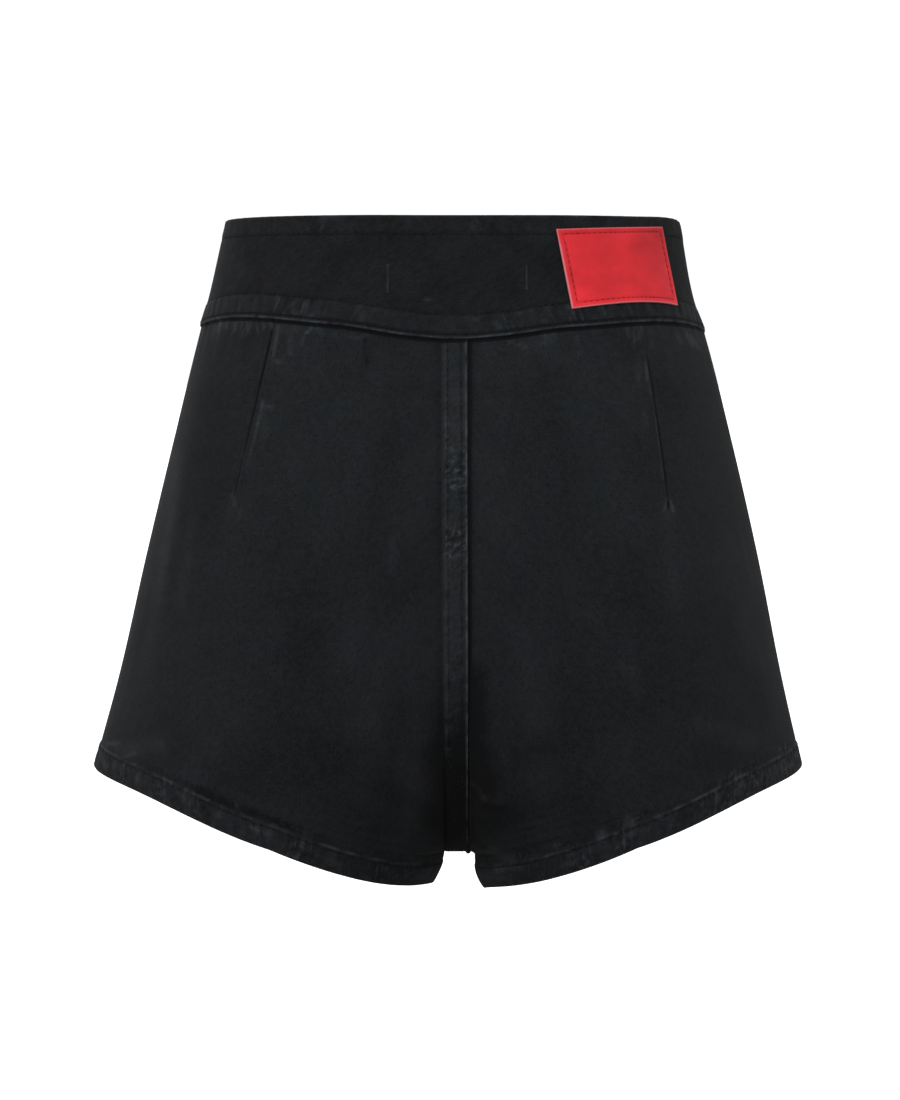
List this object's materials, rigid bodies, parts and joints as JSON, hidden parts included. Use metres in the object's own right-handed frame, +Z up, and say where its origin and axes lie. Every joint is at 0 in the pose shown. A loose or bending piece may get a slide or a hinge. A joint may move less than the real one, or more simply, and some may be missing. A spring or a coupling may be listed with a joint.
{
  "type": "high waisted denim shorts",
  "caption": "High waisted flared denim shorts with a deep waistband, back darts, a lapped centre seam, a button and zip front and a plain leather patch, filled out as worn.",
  "frame": {"origin": "middle of the waist opening, level with its top edge, where the wearer's waist holds the shorts up", "axes": "+X to the wearer's left, +Y to the back, +Z up"},
  "size_m": [0.3625, 0.2234, 0.3425],
  "materials": {
    "denim": "washed black denim twill, matt, paler where seams and hems rub",
    "patch_leather": "red leather, satin, with pale cut edges and no lettering",
    "zip_tape": "woven black tape with a closed dark metal chain",
    "hardware": "dark gunmetal, brushed and slightly worn"
  },
  "bodies": {
    "root": {"back_left": "denim", "back_right": "denim", "front_left": "denim", "front_right": "denim", "waistband": "denim", "waist_patch": "patch_leather", "fly_shield": "denim", "fly_zip": "zip_tape", "fly_zip_slider": "hardware", "button_upper": "hardware", "button_lower": "hardware"}
  },
  "joints": []
}
